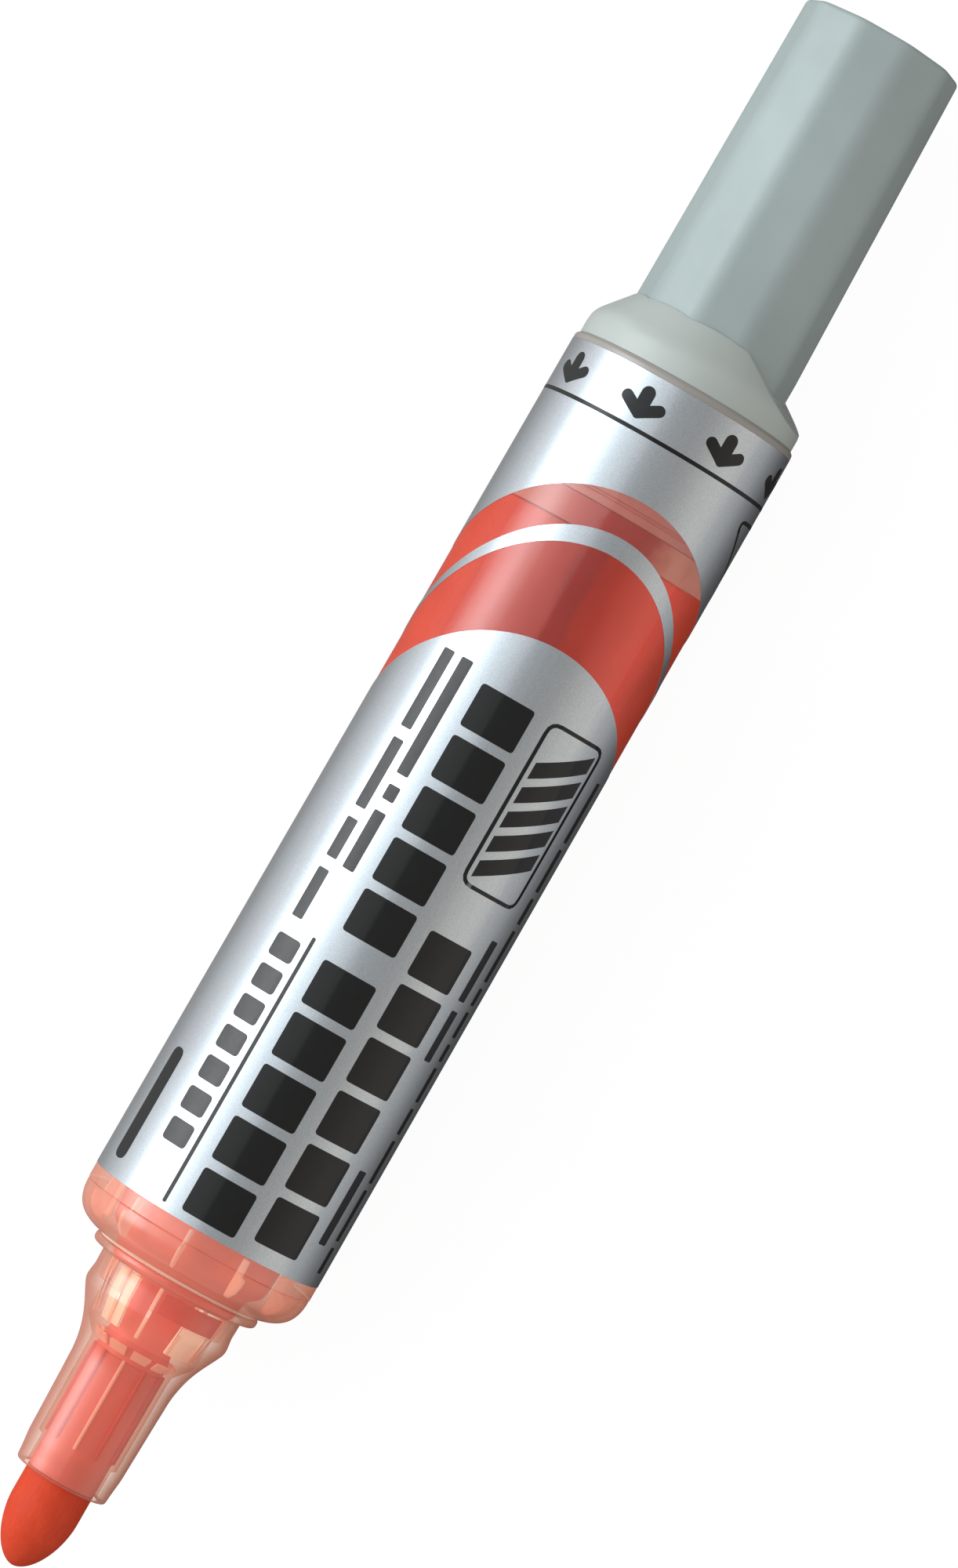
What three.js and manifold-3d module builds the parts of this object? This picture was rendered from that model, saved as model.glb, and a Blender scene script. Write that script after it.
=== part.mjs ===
// A pump-action whiteboard marker without its cap, as an assembly of separate pieces.
//
// Millimetres. Every piece is drawn on a station scale along the marker's axis: station 0 is
// the press face of the button, and stations grow toward the nib. The finished group lies
// along X with the nib at +X, its middle over the origin and its lowest facet on Z = 0.

import * as THREE from 'three';
import { mergeVertices } from 'three/addons/utils/BufferGeometryUtils.js';
import Module from 'manifold-3d';

// ---- Driving dimensions ----

const LENGTH = 125.9; // press face to nib tip
const SIDES = 32; // facets around a turned piece
const SMALL_SIDES = 16; // facets around a small inner piece
const GAP = 0.3; // clearance between neighbouring pieces
const OVERRUN = 1; // how far a cutting solid runs past the face it cuts
const TRAVEL = 3.5; // how far the button goes in
const EDGE_STEPS = 3; // segments in a small rounding
const CURVE_STEPS = 6; // segments in a visible curve
const WIRE_SIDES = 6;
const WIRE_STEPS_PER_TURN = 14;
const DEGREE = Math.PI / 180;

const TUBE = {
  rear: 28.9,
  front: 98.9,
  bore: 7.75,
  panel: 8.5, // radius of the recess that carries the label
  rearLip: 8.92,
  frontLip: 9.11,
  rearLipLength: 0.35,
  frontLipLength: 0.9,
};

const LABEL = {
  rear: TUBE.rear + TUBE.rearLipLength + GAP,
  front: TUBE.front - TUBE.frontLipLength - GAP,
  rearRadius: 8.93,
  frontRadius: 9.13,
  film: 0.2,
};

// The button's shoulder stops short of the collar's inner lip when it is pressed in, and its
// flange behind the lip keeps it from coming out.
const BUTTON_BASE = 24.6;
const LIP_REAR = BUTTON_BASE + TRAVEL + 2 * GAP;
const LIP_FRONT = LIP_REAR + 0.8;

const BUTTON = {
  sides: 10,
  firstCorner: 17 * DEGREE, // from straight up, toward +Y
  endRadius: 6.25, // at the corners of the decagon
  baseRadius: 6.62,
  edge: 0.45, // rounding around the press face
  base: BUTTON_BASE,
  wall: 1.4,
  bore: 5.1,
  skirt: 6.0,
  flange: 6.6,
  flangeRear: LIP_FRONT + GAP,
  flangeFront: LIP_FRONT + GAP + 1,
  bossRadius: 2.2,
  bossFront: 12.1,
};

const COLLAR = {
  mouth: 24.45,
  mouthRadius: 6.64,
  coneFront: 26.7,
  coneRadius: 8.33,
  cylinder: 8.72,
  cylinderRear: 27.8,
  front: TUBE.rear - GAP,
  skirt: TUBE.bore - GAP,
  skirtFront: 34.6,
  lipRadius: 6.3,
  bore: 6.9,
};

// The relief on the collar's +Y side is one slanted plane:
// station = rise + slopeY * y + slopeZ * z, with y and z measured from the axis.
const RELIEF = { rise: 22.02, slopeY: 0.643, slopeZ: 0.163, size: 30 };

const ROD = { radius: 0.95, sides: 12, rear: 3.3, front: 93.2, bore: 1.25 };

const REAR_PLUG = {
  rear: 34.9,
  front: 39.4,
  webFront: 36.4,
  rimBore: 5.9,
  hub: 3.0,
  hubFront: 40.2,
  glandRear: 37.3,
  gland: 2.3,
  grooveRear: 36.7,
  grooveFront: 38.3,
  groove: 6.5,
};

const PLUG_RADIUS = TUBE.bore - GAP;
const O_RING = { centre: 7.12, section: 0.32, sectionSides: 8 };
const WASHER = { rear: REAR_PLUG.rear - 2 * GAP, front: REAR_PLUG.rear - GAP, bore: 1.3, radius: 3.9 };

const NOSE = {
  tail: 92.0,
  tailTube: 5.7, // outer radius of the inner tube
  tailSkirt: 6.7, // inner radius of the outer skirt
  shoulder: TUBE.front + GAP,
  shoulderFront: 101.9,
  shoulderRadius: 9.11,
  pocketRadius: 8.1,
  pocketRear: 99.9,
  pocketFront: 100.9,
  flange: 6.63,
  flangeFront: 102.65,
  neck: 5.64,
  neckRear: 102.85,
  beadRear: 104.5,
  bead: 5.77,
  beadAt: 105.2,
  coneRear: 105.6,
  coneRadius: 5.62,
  coneLead: [0.26, 0.55], // first control point: shares of the cone's run and fall
  coneTrail: [0.47, 0.93], // second control point
  noseRear: 110.5,
  nose: 3.99,
  noseFront: 118.9,
  tipRadius: 3.63,
  tipEdge: 0.25,
  bore: 5.0,
  boreFront: 104.9,
  chamber: 4.0,
  chamberFront: 107.6,
  grooveRear: 94.2,
  grooveFront: 95.8,
  groove: 6.75,
  ribs: 10,
  rib: 0.6,
};

// The bullet's radius falls with the share u of its length as (1 - u ^ power) ^ root.
const NIB = { radius: 2.65, rear: 109.0, shoulder: 121.2, chamfer: 0.3, power: 1.8, root: 0.55, steps: 8 };

const VALVE = {
  capRear: 89.6,
  capFront: 91.4,
  capBore: 1.6,
  radius: 4.7,
  rear: 91.7,
  chamber: 3.8,
  chamberFront: 102.4,
  flangeFront: 104.6,
  spigot: 2.14,
  spigotFront: 108.0,
  duct: 1.25,
};
const VALVE_SEAT = { bore: 1.45, radius: VALVE.chamber - GAP, rear: VALVE.rear, front: 92.9 };

const POPPET = {
  rear: 93.5,
  radius: 3.1,
  front: 94.8,
  recess: 2.7,
  recessFloor: 94.2,
  hub: 1.25,
  pin: 1.2,
  pinFront: 97.6,
};

const POPPET_SEAL = { bore: 1.55, radius: 2.4, rear: POPPET.rear - GAP, front: POPPET.recessFloor - GAP };
const WICK = { radius: 0.95, rear: 102.9, front: NIB.rear - GAP };
const GLAND_RING = { bore: ROD.bore, radius: REAR_PLUG.gland - GAP };
const ROD_SEAL = { ...GLAND_RING, rear: REAR_PLUG.glandRear + GAP, front: 39.3 };
const RETAINER = { ...GLAND_RING, rear: ROD_SEAL.front + GAP, front: REAR_PLUG.hubFront };
const INK = { rear: REAR_PLUG.hubFront + 2 * GAP, front: VALVE.capRear - GAP };

const BUTTON_SPRING = { rear: BUTTON.wall + GAP, front: WASHER.rear - GAP, radius: 2.9, wire: 0.3, turns: 9 };
const VALVE_SPRING = {
  rear: POPPET.front + GAP,
  front: VALVE.chamberFront - GAP,
  radius: 2.1,
  wire: 0.28,
  turns: 4.5,
};

// ---- Tools ----

const wasm = await Module();
wasm.setup();

/** The volume that a closed triangle list holds, negative when its faces point inward. */
function signedVolume(position, triangles) {
  const a = new THREE.Vector3();
  const b = new THREE.Vector3();
  const c = new THREE.Vector3();
  let volume = 0;
  for (const [i, j, k] of triangles) {
    a.fromBufferAttribute(position, i);
    b.fromBufferAttribute(position, j);
    c.fromBufferAttribute(position, k);
    volume += a.dot(b.cross(c)) / 6;
  }
  return volume;
}

/** A solid from any closed three.js geometry. */
function solid(geometry) {
  geometry.deleteAttribute('normal');
  geometry.deleteAttribute('uv');
  const merged = mergeVertices(geometry, 1e-5);
  const position = merged.getAttribute('position');
  const index = merged.getIndex().array;
  const triangles = [];
  for (let i = 0; i < index.length; i += 3) {
    const triangle = [index[i], index[i + 1], index[i + 2]];
    if (new Set(triangle).size === 3) triangles.push(triangle);
  }
  const inward = signedVolume(position, triangles) < 0;
  const facing = inward ? triangles.map((triangle) => triangle.toReversed()) : triangles;
  const mesh = new wasm.Mesh({
    numProp: 3,
    vertProperties: Float32Array.from(position.array),
    triVerts: Uint32Array.from(facing.flat()),
  });
  return new wasm.Manifold(mesh);
}

/** A point of a turned profile: radius first, then station. */
function point(radius, station) {
  return new THREE.Vector2(radius, station);
}

/**
 * A turned solid. Its facets touch the stated radii from outside, and one facet faces
 * straight down, so that a turned piece can lie still on it.
 */
function turned(profile, sides = SIDES) {
  const grow = 1 / Math.cos(Math.PI / sides);
  const points = profile.map((p) => point(p.x * grow, p.y));
  const geometry = new THREE.LatheGeometry(points, sides, Math.PI / sides);
  geometry.rotateZ(-Math.PI / 2);
  return solid(geometry);
}

/** A plain ring between two radii and two stations, or a rod when the bore is 0. */
function ring(bore, radius, rear, front, sides = SIDES) {
  const profile = [point(bore, rear), point(radius, rear), point(radius, front), point(bore, front)];
  if (bore > 0) profile.push(profile[0].clone());
  return turned(profile, sides);
}

/** A small ring from its bore, radius, rear and front. */
function smallRing({ bore, radius, rear, front }) {
  return ring(bore, radius, rear, front, SMALL_SIDES);
}

/** An O-ring around the axis. */
function oRing(station) {
  const profile = [];
  for (let i = 0; i <= O_RING.sectionSides; i += 1) {
    const turn = (i % O_RING.sectionSides) * ((2 * Math.PI) / O_RING.sectionSides);
    const radius = O_RING.centre + O_RING.section * Math.cos(turn);
    profile.push(point(radius, station + O_RING.section * Math.sin(turn)));
  }
  return turned(profile);
}

/** A wire helix around the axis. */
class Helix extends THREE.Curve {
  constructor({ rear, front, radius, wire, turns }) {
    super();
    this.rear = rear + wire;
    this.rise = front - rear - 2 * wire;
    this.radius = radius;
    this.turns = turns;
  }

  getPoint(t, target = new THREE.Vector3()) {
    const angle = 2 * Math.PI * this.turns * t;
    const y = this.radius * Math.sin(angle);
    const z = this.radius * Math.cos(angle);
    return target.set(this.rear + this.rise * t, y, z);
  }
}

function coilSpring(spring) {
  const section = new THREE.Shape();
  for (let i = 0; i < WIRE_SIDES; i += 1) {
    const turn = (2 * Math.PI * i) / WIRE_SIDES;
    const x = spring.wire * Math.cos(turn);
    const y = spring.wire * Math.sin(turn);
    if (i === 0) section.moveTo(x, y);
    else section.lineTo(x, y);
  }
  section.closePath();
  const geometry = new THREE.ExtrudeGeometry(section, {
    steps: Math.round(spring.turns * WIRE_STEPS_PER_TURN),
    extrudePath: new Helix(spring),
  });
  return solid(geometry);
}

/** Points of a quarter-round between two profile points, without its first point. */
function quarterRound(centreRadius, centreStation, radiusReach, stationReach, from, to, steps) {
  const points = [];
  for (let i = 1; i <= steps; i += 1) {
    const turn = (from + ((to - from) * i) / steps) * DEGREE;
    const radius = centreRadius + radiusReach * Math.cos(turn);
    points.push(point(radius, centreStation + stationReach * Math.sin(turn)));
  }
  return points;
}

/** A ten-sided tapered prism whose corners are at the button's corner directions. */
function decagon(profile) {
  const geometry = new THREE.LatheGeometry(profile, BUTTON.sides, -BUTTON.firstCorner);
  geometry.rotateZ(-Math.PI / 2);
  return solid(geometry);
}

/** Everything on the button's side of the collar's relief plane. */
function reliefBlock() {
  const normal = new THREE.Vector3(1, -RELIEF.slopeY, -RELIEF.slopeZ).normalize();
  const block = new THREE.BoxGeometry(RELIEF.size, RELIEF.size, RELIEF.size);
  block.translate(-RELIEF.size / 2, 0, 0);
  block.applyQuaternion(new THREE.Quaternion().setFromUnitVectors(new THREE.Vector3(1, 0, 0), normal));
  block.translate(RELIEF.rise, 0, 0);
  return solid(block);
}

// ---- Press end ----

/** A decagonal cap with a round skirt, a snap flange and a boss that takes the rod. */
function makeButton() {
  const edge = quarterRound(
    BUTTON.endRadius - BUTTON.edge, BUTTON.edge, BUTTON.edge, BUTTON.edge, -90, 0, EDGE_STEPS,
  );
  const shaft = decagon([
    point(0, 0),
    point(BUTTON.endRadius - BUTTON.edge, 0),
    ...edge,
    point(BUTTON.baseRadius, BUTTON.base),
    point(0, BUTTON.base),
  ]);
  const skirt = turned([
    point(0, BUTTON.base - OVERRUN),
    point(BUTTON.skirt, BUTTON.base - OVERRUN),
    point(BUTTON.skirt, BUTTON.flangeRear),
    point(BUTTON.flange, BUTTON.flangeRear),
    point(BUTTON.flange, BUTTON.flangeFront - GAP),
    point(BUTTON.flange - GAP, BUTTON.flangeFront),
    point(0, BUTTON.flangeFront),
  ]);
  const hollow = turned([
    point(0, BUTTON.flangeFront + OVERRUN),
    point(BUTTON.bore, BUTTON.flangeFront + OVERRUN),
    point(BUTTON.bore, BUTTON.wall),
    point(BUTTON.bossRadius, BUTTON.wall),
    point(BUTTON.bossRadius, BUTTON.bossFront),
    point(0, BUTTON.bossFront),
  ]);
  const rodSocket = ring(0, ROD.bore, ROD.rear - GAP, BUTTON.bossFront + OVERRUN);
  return shaft.add(skirt).subtract(hollow).subtract(rodSocket);
}

/** The ring that holds the button in the barrel, with a slanted relief on one side. */
function makeCollar() {
  const rounding = new THREE.QuadraticBezierCurve(
    point(COLLAR.coneRadius, COLLAR.coneFront),
    point(COLLAR.cylinder, COLLAR.coneFront + GAP),
    point(COLLAR.cylinder, COLLAR.cylinderRear),
  ).getPoints(EDGE_STEPS);
  const outside = turned([
    point(0, COLLAR.mouth),
    point(COLLAR.mouthRadius, COLLAR.mouth),
    ...rounding,
    point(COLLAR.cylinder, COLLAR.front),
    point(COLLAR.skirt, COLLAR.front),
    point(COLLAR.skirt, COLLAR.skirtFront),
    point(0, COLLAR.skirtFront),
  ]);
  const mouth = decagon([
    point(0, COLLAR.mouth - OVERRUN),
    point(BUTTON.baseRadius + GAP, COLLAR.mouth - OVERRUN),
    point(BUTTON.baseRadius + GAP, LIP_REAR),
    point(0, LIP_REAR),
  ]);
  const lipHole = ring(0, COLLAR.lipRadius, COLLAR.mouth, COLLAR.skirtFront + OVERRUN);
  const bore = ring(0, COLLAR.bore, LIP_FRONT, COLLAR.skirtFront + OVERRUN);
  return outside.subtract(mouth).subtract(lipHole).subtract(bore).subtract(reliefBlock());
}

/** The stopper that closes the tank behind the ink and guides the rod. */
function makeRearPlug() {
  const p = REAR_PLUG;
  return turned([
    point(ROD.bore, p.rear),
    point(PLUG_RADIUS, p.rear),
    point(PLUG_RADIUS, p.grooveRear),
    point(p.groove, p.grooveRear),
    point(p.groove, p.grooveFront),
    point(PLUG_RADIUS, p.grooveFront),
    point(PLUG_RADIUS, p.front),
    point(p.rimBore, p.front),
    point(p.rimBore, p.webFront),
    point(p.hub, p.webFront),
    point(p.hub, p.hubFront),
    point(p.gland, p.hubFront),
    point(p.gland, p.glandRear),
    point(ROD.bore, p.glandRear),
    point(ROD.bore, p.rear),
  ]);
}

// ---- Tank ----

/** The tank tube, with a lip at each end of the label panel. */
function makeBarrel() {
  return turned([
    point(TUBE.bore, TUBE.rear),
    point(TUBE.rearLip, TUBE.rear),
    point(TUBE.rearLip, TUBE.rear + TUBE.rearLipLength),
    point(TUBE.panel, TUBE.rear + TUBE.rearLipLength),
    point(TUBE.panel, TUBE.front - TUBE.frontLipLength),
    point(TUBE.frontLip, TUBE.front - TUBE.frontLipLength),
    point(TUBE.frontLip, TUBE.front),
    point(TUBE.bore, TUBE.front),
    point(TUBE.bore, TUBE.rear),
  ]);
}

/** The printed film around the barrel, a little wider toward the nib. */
function makeLabel() {
  return turned([
    point(LABEL.rearRadius - LABEL.film, LABEL.rear),
    point(LABEL.rearRadius, LABEL.rear),
    point(LABEL.frontRadius, LABEL.front),
    point(LABEL.frontRadius - LABEL.film, LABEL.front),
    point(LABEL.rearRadius - LABEL.film, LABEL.rear),
  ]);
}

// ---- Writing end ----

/** The rounded shoulder, from the barrel to the flange. */
function shoulderCurve() {
  const reach = NOSE.shoulderRadius - NOSE.flange;
  const depth = NOSE.shoulderFront - NOSE.shoulder;
  return quarterRound(NOSE.flange, NOSE.shoulder, reach, depth, 0, 90, CURVE_STEPS);
}

/** The neck's fall from its bead to the slim nose. */
function neckCurve() {
  const run = NOSE.noseRear - NOSE.coneRear;
  const fall = NOSE.coneRadius - NOSE.nose;
  const at = ([alongRun, alongFall]) => (
    point(NOSE.coneRadius - alongFall * fall, NOSE.coneRear + alongRun * run)
  );
  return new THREE.CubicBezierCurve(
    at([0, 0]), at(NOSE.coneLead), at(NOSE.coneTrail), at([1, 1]),
  ).getPoints(CURVE_STEPS);
}

/** The plug that closes the tank in front and carries the valve and the nib. */
function makeNose() {
  const nibBore = NIB.radius + GAP;
  const outside = turned([
    point(0, NOSE.tail),
    point(PLUG_RADIUS, NOSE.tail),
    point(PLUG_RADIUS, NOSE.grooveRear),
    point(NOSE.groove, NOSE.grooveRear),
    point(NOSE.groove, NOSE.grooveFront),
    point(PLUG_RADIUS, NOSE.grooveFront),
    point(PLUG_RADIUS, NOSE.shoulder),
    point(NOSE.shoulderRadius, NOSE.shoulder),
    ...shoulderCurve(),
    point(NOSE.flange, NOSE.flangeFront),
    point(NOSE.neck, NOSE.neckRear),
    point(NOSE.neck, NOSE.beadRear),
    point(NOSE.bead, NOSE.beadAt),
    ...neckCurve(),
    point(NOSE.tipRadius, NOSE.noseFront - NOSE.tipEdge),
    point(NOSE.tipRadius - NOSE.tipEdge, NOSE.noseFront),
    point(0, NOSE.noseFront),
  ]);
  const inside = turned([
    point(0, NOSE.tail - OVERRUN),
    point(NOSE.bore, NOSE.tail - OVERRUN),
    point(NOSE.bore, NOSE.boreFront),
    point(NOSE.chamber, NOSE.boreFront),
    point(NOSE.chamber, NOSE.chamberFront),
    point(nibBore, NOSE.chamberFront + NOSE.chamber - nibBore),
    point(nibBore, NOSE.noseFront + OVERRUN),
    point(0, NOSE.noseFront + OVERRUN),
  ]);
  const pocket = turned([
    point(NOSE.tailTube, NOSE.tail - OVERRUN),
    point(NOSE.tailSkirt - GAP, NOSE.tail - OVERRUN),
    point(NOSE.tailSkirt - GAP, NOSE.grooveFront + GAP),
    point(NOSE.tailSkirt, NOSE.shoulder),
    point(NOSE.pocketRadius, NOSE.pocketRear),
    point(NOSE.tailSkirt, NOSE.pocketFront),
    point(NOSE.tailTube, NOSE.pocketFront),
    point(NOSE.tailTube, NOSE.tail - OVERRUN),
  ]);
  let nose = outside.subtract(inside).subtract(pocket);
  const ribLength = NOSE.pocketFront - NOSE.tail - 2 * NOSE.rib;
  const ribReach = NOSE.pocketRadius - NOSE.tailTube;
  for (let i = 0; i < NOSE.ribs; i += 1) {
    const rib = new THREE.BoxGeometry(ribLength, NOSE.rib, ribReach);
    rib.translate(NOSE.pocketFront - ribLength / 2, 0, NOSE.tailTube + ribReach / 2 - NOSE.rib / 2);
    rib.rotateX((2 * Math.PI * i) / NOSE.ribs);
    nose = nose.add(solid(rib).intersect(outside));
  }
  return nose;
}

/** The fibre bullet nib, with its shank inside the nose. */
function makeNib() {
  const tip = [];
  const reach = LENGTH - NIB.shoulder;
  for (let i = 1; i < NIB.steps; i += 1) {
    const along = Math.sin((i / NIB.steps) * (Math.PI / 2));
    const radius = NIB.radius * (1 - along ** NIB.power) ** NIB.root;
    tip.push(point(radius, NIB.shoulder + reach * along));
  }
  return turned([
    point(0, NIB.rear),
    point(NIB.radius - NIB.chamfer, NIB.rear),
    point(NIB.radius, NIB.rear + NIB.chamfer),
    point(NIB.radius, NIB.shoulder),
    ...tip,
    point(0, LENGTH),
  ]);
}

/** The cup that holds the poppet and its spring, with a spigot toward the nib. */
function makeValveBody() {
  return turned([
    point(VALVE.chamber, VALVE.rear),
    point(VALVE.radius, VALVE.rear),
    point(VALVE.radius, VALVE.flangeFront),
    point(VALVE.spigot, VALVE.flangeFront),
    point(VALVE.spigot, VALVE.spigotFront),
    point(VALVE.duct, VALVE.spigotFront),
    point(VALVE.duct, VALVE.chamberFront),
    point(VALVE.chamber, VALVE.chamberFront),
    point(VALVE.chamber, VALVE.rear),
  ]);
}

/** The valve head, with a recess for its seal and a pin inside the spring. */
function makePoppet() {
  const profile = [
    point(0, POPPET.rear),
    point(POPPET.hub, POPPET.rear),
    point(POPPET.hub, POPPET.recessFloor),
    point(POPPET.recess, POPPET.recessFloor),
    point(POPPET.recess, POPPET.rear),
    point(POPPET.radius, POPPET.rear),
    point(POPPET.radius, POPPET.front),
    point(POPPET.pin, POPPET.front),
    point(POPPET.pin, POPPET.pinFront),
    point(0, POPPET.pinFront),
  ];
  return turned(profile, SMALL_SIDES);
}

// ---- Assembly ----

const plastic = (color, roughness) => ({ color, roughness, metalness: 0 });
const steel = { color: 0xb9bcc0, roughness: 0.3, metalness: 1 };
const rubber = plastic(0x2b2b2d, 0.8);
const natural = plastic(0xe9e4d8, 0.4);

const midOf = (part) => (part.grooveRear + part.grooveFront) / 2;

const pieces = {
  button: [makeButton(), plastic(0xa4adac, 0.42)],
  collar: [makeCollar(), plastic(0xb5bab2, 0.35)],
  button_spring: [coilSpring(BUTTON_SPRING), steel],
  spring_washer: [smallRing(WASHER), steel],
  rear_plug: [makeRearPlug(), natural],
  rear_o_ring: [oRing(midOf(REAR_PLUG)), rubber],
  rod_seal: [smallRing(ROD_SEAL), rubber],
  seal_retainer: [smallRing(RETAINER), natural],
  push_rod: [ring(0, ROD.radius, ROD.rear, ROD.front, ROD.sides), natural],
  barrel: [makeBarrel(), plastic(0xd9cfc8, 0.25)],
  label: [makeLabel(), { color: 0xb4b9bf, roughness: 0.3, metalness: 0.7 }],
  ink: [ring(ROD.bore, PLUG_RADIUS, INK.rear, INK.front), plastic(0x8e1c1a, 0.1)],
  valve_cap: [ring(VALVE.capBore, VALVE.radius, VALVE.capRear, VALVE.capFront), natural],
  valve_seat: [smallRing(VALVE_SEAT), natural],
  valve_body: [makeValveBody(), plastic(0xd0604f, 0.3)],
  poppet: [makePoppet(), natural],
  poppet_seal: [smallRing(POPPET_SEAL), rubber],
  valve_spring: [coilSpring(VALVE_SPRING), steel],
  feed_wick: [ring(0, WICK.radius, WICK.rear, WICK.front, ROD.sides), plastic(0xb03024, 0.9)],
  front_o_ring: [oRing(midOf(NOSE)), rubber],
  nose: [makeNose(), plastic(0xd8a082, 0.2)],
  nib: [makeNib(), plastic(0xb83a26, 0.85)],
};

const marker = new THREE.Group();
marker.position.set(-LENGTH / 2, 0, LABEL.frontRadius);
for (const [name, [shape, finish]] of Object.entries(pieces)) {
  const { vertProperties, triVerts } = shape.getMesh();
  const geometry = new THREE.BufferGeometry();
  geometry.setAttribute('position', new THREE.BufferAttribute(vertProperties, 3));
  geometry.setIndex(new THREE.BufferAttribute(triVerts, 1));
  geometry.computeVertexNormals();
  const mesh = new THREE.Mesh(geometry, new THREE.MeshStandardMaterial(finish));
  mesh.name = name;
  marker.add(mesh);
}

const assembly = new THREE.Group();
assembly.add(marker);

export default assembly;
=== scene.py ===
"""The looks of a pump-action whiteboard marker that lies on a pale floor, seen from above.

Sizes are in millimetres along and around the marker's axis. A station is a distance from the
button's press face toward the nib, and an angle is measured around the axis from straight up
toward +Y, which is the right-hand side of someone who looks down at the marker, button up.
"""

import math

import bmesh
import bpy
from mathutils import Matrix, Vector


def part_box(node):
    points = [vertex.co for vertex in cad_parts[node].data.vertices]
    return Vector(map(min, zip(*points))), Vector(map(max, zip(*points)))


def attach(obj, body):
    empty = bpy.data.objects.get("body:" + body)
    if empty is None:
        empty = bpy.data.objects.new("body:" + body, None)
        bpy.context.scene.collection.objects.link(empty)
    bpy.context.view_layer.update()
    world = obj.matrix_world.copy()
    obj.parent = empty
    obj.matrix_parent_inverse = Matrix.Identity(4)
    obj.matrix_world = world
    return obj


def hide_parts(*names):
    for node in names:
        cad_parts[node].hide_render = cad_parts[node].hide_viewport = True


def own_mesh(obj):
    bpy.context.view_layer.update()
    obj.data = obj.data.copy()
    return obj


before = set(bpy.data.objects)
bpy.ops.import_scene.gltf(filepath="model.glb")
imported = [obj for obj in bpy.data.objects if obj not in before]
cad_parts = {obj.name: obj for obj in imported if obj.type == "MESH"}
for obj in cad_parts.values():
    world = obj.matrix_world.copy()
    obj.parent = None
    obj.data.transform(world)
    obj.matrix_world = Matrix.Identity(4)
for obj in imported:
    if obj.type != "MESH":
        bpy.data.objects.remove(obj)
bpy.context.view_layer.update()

# ---- The frame ----

MM = 0.001
TANK, PLUNGER = "tank", "plunger"
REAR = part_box("button")[0][0]
AXIS_Z = (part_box("label")[0][2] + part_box("label")[1][2]) / 2


def span(node):
    """The stations where a CAD node starts and ends."""
    low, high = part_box(node)
    return (low[0] - REAR) / MM, (high[0] - REAR) / MM


def half_width(node):
    """Half the width of a CAD node across the axis, in millimetres."""
    low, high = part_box(node)
    return (high[1] - low[1]) / 2 / MM


def at(station, radius, angle):
    """The place of a station, radius and angle (radians), in metres."""
    return Vector(
        (
            REAR + station * MM,
            radius * MM * math.sin(angle),
            AXIS_Z + radius * MM * math.cos(angle),
        )
    )


LABEL_FRONT = span("label")[1]
LABEL_REAR = 29.5
BARREL_REAR, BARREL_FRONT = 28.91, span("barrel")[1]
NOSE_FRONT = span("nose")[1]
NIB_REAR, TIP = span("nib")
LABEL_FRONT_RADIUS = half_width("label")
LABEL_REAR_RADIUS = LABEL_FRONT_RADIUS - 0.18

COLUMNS = 224  # around a turned piece
SECTOR_COLUMNS = 12  # along each stretch of a piece that goes only part of the way around
ARC_STEPS = 8
PLATE_EDGE = 0.1  # width of the bevel on a flat plate
FILM = 0.03  # thickness of the label


def label_radius(station):
    share = (station - LABEL_REAR) / (LABEL_FRONT - LABEL_REAR)
    return LABEL_REAR_RADIUS + (LABEL_FRONT_RADIUS - LABEL_REAR_RADIUS) * share


# ---- Meshes ----


def add_object(name, points, faces, body, materials, slots=None, sharp=30):
    """A smooth closed skin, creased where faces meet at over `sharp` degrees."""
    mesh = bpy.data.meshes.new(name)
    mesh.from_pydata(points, [], faces)
    if slots:
        mesh.polygons.foreach_set("material_index", slots)
    for material in materials:
        mesh.materials.append(material)
    bm = bmesh.new()
    bm.from_mesh(mesh)
    bmesh.ops.remove_doubles(bm, verts=bm.verts, dist=1e-8)
    bmesh.ops.recalc_face_normals(bm, faces=bm.faces)
    bm.to_mesh(mesh)
    bm.free()
    mesh.validate()
    for polygon in mesh.polygons:
        polygon.use_smooth = True
    mesh.set_sharp_from_angle(angle=math.radians(sharp))
    piece = bpy.data.objects.new(name, mesh)
    bpy.context.collection.objects.link(piece)
    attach(piece, body)
    return piece


def loft(name, rings, body, materials, closed=False, paint=None, sharp=30):
    """
    A skin through rings of points. It closes on its first ring, or its end rings are capped.
    `paint` gives the material index of the band between ring i and the next.
    """
    count = len(rings[0])
    points = [point for ring in rings for point in ring]
    faces, slots = [], []
    for i in range(len(rings) if closed else len(rings) - 1):
        a, b = i * count, ((i + 1) % len(rings)) * count
        for j in range(count):
            k = (j + 1) % count
            faces.append((a + j, b + j, b + k, a + k))
            slots.append(paint(i) if paint else 0)
    if not closed:
        faces.append(tuple(range(count)))
        faces.append(tuple(reversed(range((len(rings) - 1) * count, len(points)))))
        slots += [0, 0]
    return add_object(name, points, faces, body, materials, slots, sharp)


def angles(count=COLUMNS):
    return [2 * math.pi * j / count for j in range(count)]


def turned(name, profile, materials, closed=True, paint=None, sharp=30, columns=COLUMNS):
    """A turned piece of the tank from (station, radius) points."""
    rings = [[at(s, max(r, 1e-4), a) for a in angles(columns)] for s, r in profile]
    return loft(name, rings, TANK, materials, closed, paint, sharp)


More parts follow.
